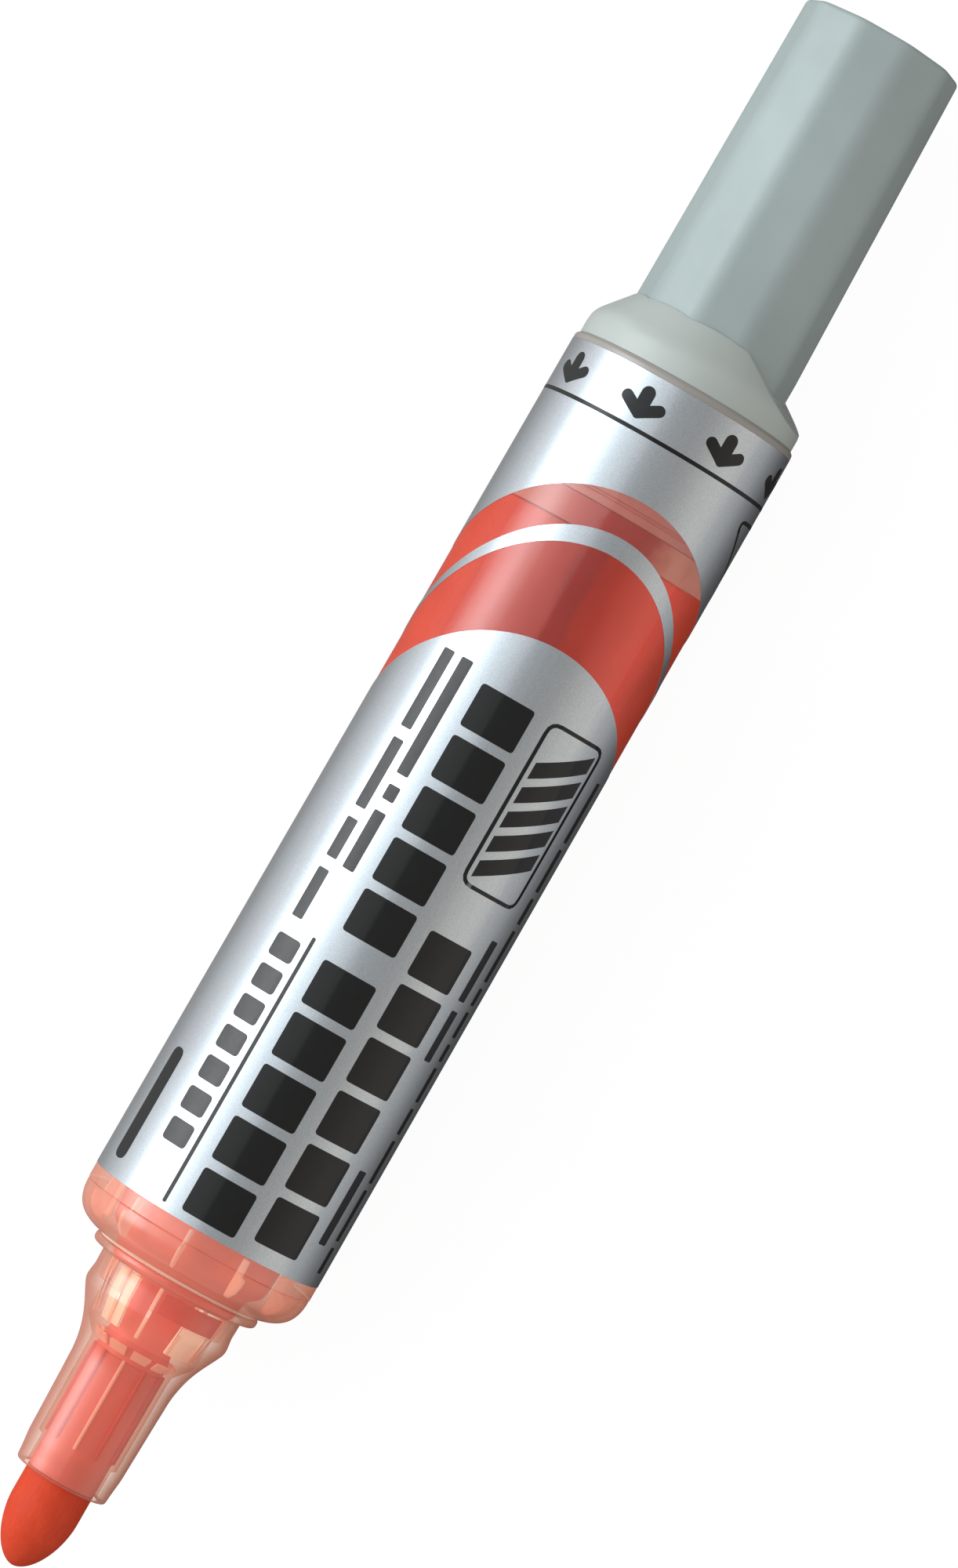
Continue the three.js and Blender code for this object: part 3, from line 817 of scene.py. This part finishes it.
def wrapped(name, outlines, material):
    """Flat outlines of (across, station) points, bent around the label as a thin layer of ink."""
    bm = bmesh.new()
    for outline in outlines:
        bm.faces.new([bm.verts.new((u, s, 0)) for u, s in outline])
    reach = max(abs(v.co.x) for v in bm.verts)
    cut = -math.floor(reach / PRINT_STEP) * PRINT_STEP
    while cut < reach:
        geometry = bm.verts[:] + bm.edges[:] + bm.faces[:]
        plane = {"plane_co": (cut, 0, 0), "plane_no": (1, 0, 0)}
        bmesh.ops.bisect_plane(bm, geom=geometry, dist=1e-5, **plane)
        cut += PRINT_STEP
    bmesh.ops.triangulate(bm, faces=[f for f in bm.faces if len(f.verts) > 4])
    bm.verts.index_update()
    count = len(bm.verts)
    points = []
    for depth in (0, PRINT_DEPTH):
        for vertex in bm.verts:
            across, station = vertex.co.x, vertex.co.y
            radius = label_radius(station)
            points.append(at(station, radius + PRINT_LIFT - depth, across / radius))
    faces = [tuple(v.index for v in f.verts) for f in bm.faces]
    faces += [tuple(count + v.index for v in reversed(f.verts)) for f in bm.faces]
    for edge in bm.edges:
        if len(edge.link_faces) == 1:
            a, b = (v.index for v in edge.verts)
            faces.append((a, b, count + b, count + a))
    bm.free()
    piece = add_object(name, points, faces, TANK, [material], sharp=50)
    return piece


def bar(across, width, start, end, radius=0.3):
    """A plain rounded bar: centre and width across, start and end stations."""
    low, high = across - width / 2, across + width / 2
    corners = [(low, start, radius), (high, start, radius), (high, end, radius), (low, end, radius)]
    return rounded(corners, 4, closed=True)


def dashes(across, width, start, end, lengths, gap, radius=0.15):
    """Bars of the given relative lengths that fill a line from start to end."""
    unit = (end - start - gap * (len(lengths) - 1)) / sum(lengths)
    result, here = [], start
    for length in lengths:
        result.append(bar(across, width, here, here + length * unit, radius))
        here += length * unit + gap
    return result


def stroke(path, width):
    """A band of even width along a closed path, as quads."""
    offsets = []
    for i, here in enumerate(path):
        p, q = Vector(path[i - 1]), Vector(path[(i + 1) % len(path)])
        normal = (q - p).orthogonal().normalized() * width / 2
        offsets.append((Vector(here) + normal, Vector(here) - normal))
    quads = []
    for i, (a, b) in enumerate(offsets):
        c, d = offsets[(i + 1) % len(path)]
        quads.append([tuple(a), tuple(b), tuple(d), tuple(c)])
    return quads


ARROWS = 8
ARROW_ANGLE = math.radians(-14)
ARROW_TOP = 30.35
RING_LINE = 33.55


def arrow(across):
    """A plain arrow that points at the nib, with a round-ended stem and round-ended wings."""
    stem, wing, reach, drop, tip = 0.53, 0.44, 1.33, 1.29, 2.05
    slope = math.degrees(math.atan2(tip - drop, reach))
    half = fan((0, stem), stem, -90, 0)
    half.append((stem, 1.24))
    half += fan((reach, drop), wing, -90 - slope, 90 - slope)
    half += [(0.25, tip + 0.36), (0.1, tip + 0.45)]
    outline = half + [(-u, v) for u, v in reversed(half[1:])]
    return [(across + u, ARROW_TOP + v) for u, v in outline]


def make_print():
    around = []
    for i in range(ARROWS):
        angle = (ARROW_ANGLE + 2 * math.pi * i / ARROWS + math.pi) % (2 * math.pi) - math.pi
        around.append(arrow(angle * label_radius(ARROW_TOP)))
    wrapped("print_arrows", around, PRINT_BLACK)
    low, high = label_radius(RING_LINE) - 0.008, label_radius(RING_LINE) + PRINT_LIFT
    rear, front = RING_LINE - 0.15, RING_LINE + 0.15
    line = [(rear, low), (rear, high), (front, high), (front, low)]
    turned("print_ring_line", line, [PRINT_BLACK])
    heavy = dashes(0.0, 4.3, 54.3, 74.3, (1,) * 5, 0.75, 0.3)
    heavy += dashes(0.0, 4.3, 76.7, 97.0, (1,) * 5, 0.75, 0.3)
    heavy += dashes(5.5, 4.1, 71.2, 96.4, (1,) * 6, 0.75, 0.3)
    wrapped("print_blocks", heavy, PRINT_BLACK)
    small = dashes(-5.7, 1.0, 53.4, 75.2, (8, 7, 4, 5), 0.9)
    small += dashes(-4.0, 1.0, 53.4, 70.5, (12, 1.5, 6), 0.9)
    small += dashes(-5.3, 2.2, 76.6, 93.4, (1,) * 7, 0.7, 0.35)
    small += [bar(-3.55, 0.3, 75.8, 97.2, 0.15)]
    wrapped("print_lines", small, PRINT_GREY)
    fine = dashes(9.3, 0.85, 69.8, 79.6, (6, 5), 0.8)
    fine += dashes(9.3, 0.95, 88.6, 94.6, (1,), 0.5)
    fine += dashes(11.3, 0.7, 56.4, 96.6, (7, 5, 3, 6, 2, 3, 2, 4, 3, 5, 6, 3), 0.55)
    fine += [bar(-9.5, 1.5, 87.4, 96.4, 0.7)]
    wrapped("print_fine", fine, PRINT_BLACK)
    low, high, rise = 4.05, 8.7, 2.4
    panel = stroke(bar(6.375, 5.65, 54.3, 67.2, 0.9), 0.3)
    for i in range(5):
        top = 54.95 + 1.98 * i
        panel.append([(low, top + rise), (high, top), (high, top + 1.3), (low, top + rise + 1.3)])
    wrapped("print_panel", panel, PRINT_BLACK)
    side_corners = [(9.9, 35.1, 1.0), (22.5, 35.1, 0.9), (22.5, 42.6, 0.9), (15.6, 42.6, 0.9)]
    wrapped("print_side_panel", stroke(rounded(side_corners, 6, closed=True), 0.3), PRINT_BLACK)
    back = []
    for row in range(4):
        back += dashes(16.0 + row * 2.2, 0.9, 68.5, 95.5 - 3 * (row % 2), (5, 3, 6, 4, 2, 5), 0.7)
    wrapped("print_back", back, PRINT_GREY)


# ---- The nose, the valve in it and the nib ----

SHOULDER = BARREL_FRONT + 0.02
NECK_RADIUS = 5.64
RIBS = 10
RIB_ANGLE = math.radians(-5.5)
RIB_TURNS = [RIB_ANGLE + i * 2 * math.pi / RIBS for i in range(RIBS)]


def make_nose():
    outline = [(SHOULDER, 9.04), (SHOULDER + 0.03, 9.06)]
    outline += bezier((99.15, 9.07), (100.6, 9.0), (101.35, 8.4), (101.72, 6.95), 20)
    groove = len(outline)
    outline += [(101.80, 6.55), (101.86, 6.38), (101.95, 6.36)]
    flange = len(outline)
    outline += rounded(
        [
            (101.95, 6.36, 0),
            (102.0, 6.64, 0.2),
            (102.58, 6.64, 0.32),
            (102.72, NECK_RADIUS + 0.12, 0.16),
            (102.9, NECK_RADIUS, 0),
        ]
    )[1:]
    bead = (104.0, NECK_RADIUS - 0.03), (104.5, NECK_RADIUS), (104.9, 5.80), (105.36, 5.66)
    outline += bezier(*bead, 8)
    outline += bezier((105.36, 5.66), (106.6, 5.15), (107.7, 4.2), (110.2, 3.99), 20)[1:]
    outline += rounded(
        [
            (112, 3.93, 0),
            (116.8, 3.80, 0.2),
            (117.9, 3.68, 0.3),
            (NOSE_FRONT, 3.6, 0.22),
            (NOSE_FRONT, 2.95, 0),
        ]
    )
    face = len(outline)
    bore = [
        (NOSE_FRONT - 0.05, 2.85),
        (116.6, 2.85),
        (116.4, 3.2),
        (109.2, 3.25),
        (108.6, 3.3),
        (107.3, 4.38),
        (104.75, 4.45),
        (104.7, 4.95),
        (102.5, 5.1),
        (101.5, 6.2),
        (101.2, 7.6),
        (100.6, 8.2),
        (99.9, 8.5),
        (SHOULDER, 8.55),
    ]

    def paint(i):
        if i >= face - 1:
            return 4 if i < face + 5 else 1
        if i >= flange - 1:
            return 3
        return 2 if i >= groove - 2 else 0

    materials = [NOSE_CLEAR, NOSE_INSIDE, NOSE_PALE, NECK_CLEAR, TUBE_INSIDE]
    shell = turned("nose_shell", outline + bore, materials, paint=paint, sharp=38)
    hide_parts("nose")
    rear, front = span("nose")[0], LABEL_FRONT - 0.05
    tail = [(rear, 6.2), (rear, 7.7), (94.2, 7.7), (94.2, 6.75), (95.8, 6.75)]
    tail += [(95.8, 7.7), (front, 7.7), (front, 6.6), (97.0, 6.6), (97.0, 6.2)]
    turned("nose_tail", tail, [STAINED])
    shoulder = [(98.0, 7.0), (98.0, 7.72), (99.2, 7.8), (99.3, 8.42), (99.9, 8.38)]
    shoulder += [(100.5, 8.12), (101.05, 7.5), (101.05, 7.0)]
    neck = [(102.9, 4.55), (102.9, 4.85), (104.6, 4.7), (104.8, 4.5), (107.0, 4.2)]
    neck += [(107.0, 4.05), (104.8, 4.45)]
    tube = [(108.9, 2.7), (108.9, 2.95), (116.2, 2.9), (116.2, 2.7)]
    for name, plate, width, turns, material in (
        ("shoulder_ribs", shoulder, 0.3, RIB_TURNS, RIB_PALE),
        ("neck_ribs", neck, 0.3, RIB_TURNS, RIB_PALE),
        ("tube_rib_top", tube, 0.25, RIB_TURNS[:1], RIB_PALE),
        ("tube_ribs", tube, 0.3, RIB_TURNS[1:], CORE_RED),
    ):
        plates(name, plate, width, turns, material)
    gaps = [(math.degrees(t) + 5, math.degrees(t) + 31) for t in RIB_TURNS]
    seat = [(107.9, 3.2), (108.45, 2.75), (108.6, 2.8), (108.05, 3.35)]
    sectors("nib_seat", seat, gaps, [RIB_PALE])


def make_valve():
    rear, spigot_front = span("valve_body")
    housing = rounded(
        [
            (rear, 3.8, 0),
            (rear, 4.7, 0.1),
            (97.0, 4.7, 0),
            (97.1, 6.4, 0.2),
            (100.4, 6.2, 0.5),
            (101.2, 5.2, 0.3),
            (102.9, 4.9, 0.2),
            (102.9, 2.6, 0.1),
            (102.45, 2.6, 0),
            (102.45, 3.8, 0),
        ]
    )
    body = turned("valve_housing", housing, [CORE_PINK])
    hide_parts("valve_body")
    spigot = rounded(
        [
            (102.7, 1.25, 0),
            (102.7, 2.3, 0.1),
            (105.5, 2.2, 0.3),
            (107.0, 2.4, 0.3),
            (spigot_front, 2.62, 0),
            (spigot_front, 1.25, 0),
        ]
    )
    turned("valve_spigot", spigot, [CORE_PINK])
    # Painted light: two pale, glowing strips inside the neck, a painted highlight on the left and
    # painted light through the clear wall on the right.
    light_patches = ("neck_painted_light_left", 103.1, (-57, -30)), ("neck_painted_light_right", 104.65, (30, 80))
    for name, start, reach in light_patches:
        patch_outline = [(start, 4.1), (start, 4.5), (104.9, 4.4), (107.0, 3.95)]
        patch_outline += [(107.0, 3.6), (104.9, 4.05)]
        sectors(name, patch_outline, [reach], [PAINTED_LIGHT_CREAM], sharp=60)
    film = [(103.05, 4.86), (103.05, 5.0), (104.6, 4.84), (104.6, 4.7)]
    sectors("neck_ink", film, [(0, 62)], [CORE_RED])


def make_nib():
    radius = half_width("nib")
    shoulder, power, root = 121.2, 1.8, 0.55
    mouth = NOSE_FRONT - 0.1
    collar = [(108.05, 1.25), (108.05, radius), (NIB_REAR - 0.03, radius), (NIB_REAR - 0.03, 1.25)]
    turned("wick_collar", collar, [CORE_PINK], sharp=60)
    profile = [(NIB_REAR, 0.001), (NIB_REAR, radius - 0.1), (NIB_REAR + 0.1, radius)]
    profile += [(mouth, radius), (mouth, 0.001)]
    shank = turned("nib_shank", profile, [CORE_PINK], closed=False, sharp=60, columns=128)
    profile = [(mouth + 0.03, 0.001), (mouth + 0.03, radius)]
    steps = 26
    for i in range(steps):
        share = math.sin(math.pi / 2 * i / steps)
        profile.append((shoulder + (TIP - shoulder) * share, radius * (1 - share**power) ** root))
    profile.append((TIP, 0.001))
    nib = turned("nib_bullet", profile, [FELT], closed=False, sharp=60, columns=128)
    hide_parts("nib")


# ---- The springs and the other inner pieces ----


def make_spring(name, node, mean_radius, wire, turns):
    """A coil of even pitch along the length of the CAD spring."""
    start, end = span(node)
    steps, sides = int(turns * 40), 12
    rings = []
    for i in range(steps + 1):
        share = i / steps
        station = start + wire + (end - start - 2 * wire) * share
        ring = []
        for k in range(sides):
            turn = 2 * math.pi * k / sides
            along, out = wire * math.sin(turn), wire * math.cos(turn)
            ring.append(at(station + along, mean_radius + out, 2 * math.pi * turns * share))
        rings.append(ring)
    spring = loft(name, rings, TANK, [STEEL], sharp=60)
    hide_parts(node)
    tuple(at(end, 0, 0))
    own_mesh(spring)


def finish_inner_nodes():
    """The CAD nodes that stay: finer edges and a material each."""
    finishes = {
        "spring_washer": STEEL,
        "rear_o_ring": RUBBER,
        "rod_seal": RUBBER,
        "seal_retainer": NATURAL,
        "push_rod": NATURAL,
        "valve_cap": NATURAL,
        "valve_seat": NATURAL,
        "poppet": NATURAL,
        "poppet_seal": RUBBER,
        "feed_wick": FELT,
        "front_o_ring": RUBBER,
    }
    for name, material in finishes.items():
        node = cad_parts[name]
        if not node.material_slots:
            node.data.materials.append(material)
        for slot in node.material_slots:
            slot.link = "OBJECT"
            slot.material = material
        soften = node.modifiers.new("edges", "BEVEL")
        soften.width = 0.05 * MM
        soften.segments = 2
        soften.limit_method = "ANGLE"
        soften.angle_limit = math.radians(40)


# ---- The stage ----

ROLL = math.radians(29.87)
CAMERA_DISTANCE = 0.45
CAMERA_AIM = (-0.0023, 0.00117)
FRAME_HEIGHT = 0.1125  # what the picture's long side covers at the marker's axis
SENSOR = 36.0


def make_camera():
    data = bpy.data.cameras.new("camera")
    data.sensor_fit = "AUTO"
    data.sensor_width = SENSOR
    data.lens = SENSOR * CAMERA_DISTANCE / FRAME_HEIGHT
    data.clip_start, data.clip_end = 0.01, 50
    camera = bpy.data.objects.new("camera", data)
    camera.location = (*CAMERA_AIM, AXIS_Z + CAMERA_DISTANCE)
    camera.rotation_euler = (0, 0, math.pi / 2 + ROLL)
    bpy.context.collection.objects.link(camera)
    bpy.context.scene.camera = camera


# What the marker sees of the floor, from its left side (negative, metres) to its right: painted
# light, brighter on the left, with a painted shadow of the marker in the dip just under it and to
# its right.
FLOOR_BRIGHTNESS = (
    (-0.10, 1.2),
    (-0.05, 1.05),
    (-0.027, 0.68),
    (-0.016, 0.34),
    (0.0, 0.15),
    (0.012, 0.05),
    (0.018, 0.07),
    (0.027, 0.24),
    (0.05, 0.55),
    (0.10, 0.65),
)
FLOOR_REACH = 0.10
FLOOR_PEAK = 2.0
FLOOR_HALF = 3.0  # half of its side
FLOOR_GLOW = 0.94


def make_floor():
    """
    A pale floor. The camera sees it evenly white. What it sends to the marker is painted light,
    brighter on the side the light comes from, with a painted shadow of the marker close under it.
    """
    nodes = Nodes("floor_white")
    grain = nodes.noise(35, 2)
    colour = nodes.ramp(grain, [(0.3, (0.065, 0.065, 0.065)), (0.7, (0.075, 0.075, 0.075))])
    lit = nodes.principled(colour, 0.9, Emission_Strength=FLOOR_GLOW)
    lit.node.inputs["Emission Color"].default_value = (1, 1, 1, 1)
    stops = [((y / FLOOR_REACH + 1) / 2, (b / FLOOR_PEAK,) * 3) for y, b in FLOOR_BRIGHTNESS]
    sent = nodes.add("ShaderNodeEmission")
    sent.inputs["Strength"].default_value = FLOOR_PEAK
    nodes.link(nodes.ramp(nodes.across(FLOOR_REACH), stops), sent.inputs["Color"])
    path = nodes.add("ShaderNodeLightPath")
    shader = nodes.mix(path.outputs["Is Camera Ray"], sent.outputs["Emission"], lit)
    mesh = bpy.data.meshes.new("floor")
    half = FLOOR_HALF
    corners = [(-half, -half, 0), (half, -half, 0), (half, half, 0), (-half, half, 0)]
    mesh.from_pydata(corners, [], [(0, 1, 2, 3)])
    mesh.materials.append(nodes.finish(shader))
    floor = bpy.data.objects.new("floor", mesh)
    bpy.context.collection.objects.link(floor)


# The studio's brightness around the marker's axis: degrees from straight up toward the right,
# brightness and colour. A broad soft light stands on the left, and the right side is dim.
COOL, NEUTRAL, WARM = (0.93, 1.0, 1.03), (0.98, 1.0, 1.0), (1.05, 1.0, 0.93)
SKY = (
    (-180, 0.6, COOL),
    (-100, 0.95, COOL),
    (-86, 2.0, COOL),
    (-76, 4.4, COOL),
    (-66, 6.0, COOL),
    (-60, 6.0, COOL),
    (-50, 3.9, COOL),
    (-40, 2.1, COOL),
    (-28, 1.5, COOL),
    (-12, 1.2, NEUTRAL),
    (-7, 1.05, NEUTRAL),
    (-4, 0.48, NEUTRAL),
    (35, 0.47, WARM),
    (50, 0.75, WARM),
    (75, 1.05, WARM),
    (95, 0.9, WARM),
    (110, 0.3, WARM),
    (180, 0.3, WARM),
)
SKY_PEAK = 8.0
SKY_ENDS = 0.6  # brightness toward the marker's two ends
SKY_FADE = (0.21, 0.5)  # where the sideways profile fades into that of the ends


def make_studio():
    world = bpy.data.worlds.new("studio")
    world.use_nodes = True
    tree = world.node_tree
    background = tree.nodes["Background"]

    def add(kind, **settings):
        node = tree.nodes.new(kind)
        for name, value in settings.items():
            setattr(node, name, value)
        return node

    direction = add("ShaderNodeSeparateXYZ")
    tree.links.new(add("ShaderNodeTexCoord").outputs["Generated"], direction.inputs[0])
    turn = add("ShaderNodeMath", operation="ARCTAN2")
    tree.links.new(direction.outputs["Y"], turn.inputs[0])
    tree.links.new(direction.outputs["Z"], turn.inputs[1])
    place = add("ShaderNodeMapRange")
    place.inputs["From Min"].default_value = -math.pi
    place.inputs["From Max"].default_value = math.pi
    tree.links.new(turn.outputs["Value"], place.inputs["Value"])
    profile = add("ShaderNodeValToRGB")
    elements = profile.color_ramp.elements
    while len(elements) < len(SKY):
        elements.new(0.5)
    for element, (angle, brightness, colour) in zip(elements, SKY):
        element.position = angle / 360 + 0.5
        element.color = (*(brightness * c / SKY_PEAK for c in colour), 1)
    tree.links.new(place.outputs["Result"], profile.inputs["Fac"])
    away = add("ShaderNodeMath", operation="ABSOLUTE")
    tree.links.new(direction.outputs["X"], away.inputs[0])
    fade = add("ShaderNodeMapRange", interpolation_type="SMOOTHSTEP")
    fade.inputs["From Min"].default_value, fade.inputs["From Max"].default_value = SKY_FADE
    tree.links.new(away.outputs["Value"], fade.inputs["Value"])
    sky = add("ShaderNodeMix", data_type="RGBA")
    tree.links.new(fade.outputs["Result"], sky.inputs["Factor"])
    tree.links.new(profile.outputs["Color"], sky.inputs[6])
    sky.inputs[7].default_value = (*(SKY_ENDS / SKY_PEAK * c for c in NEUTRAL), 1)
    tree.links.new(sky.outputs[2], background.inputs["Color"])
    background.inputs["Strength"].default_value = SKY_PEAK
    bpy.context.scene.world = world
    bpy.context.scene.view_settings.view_transform = "Standard"


make_camera()
make_floor()
make_studio()
make_button()
make_collar()
make_barrel()
make_window_contents()
make_label()
make_print()
make_nose()
make_valve()
make_nib()
make_spring("button_coil", "button_spring", 2.9, 0.3, 9)
make_spring("valve_coil", "valve_spring", 2.1, 0.28, 4.5)
finish_inner_nodes()
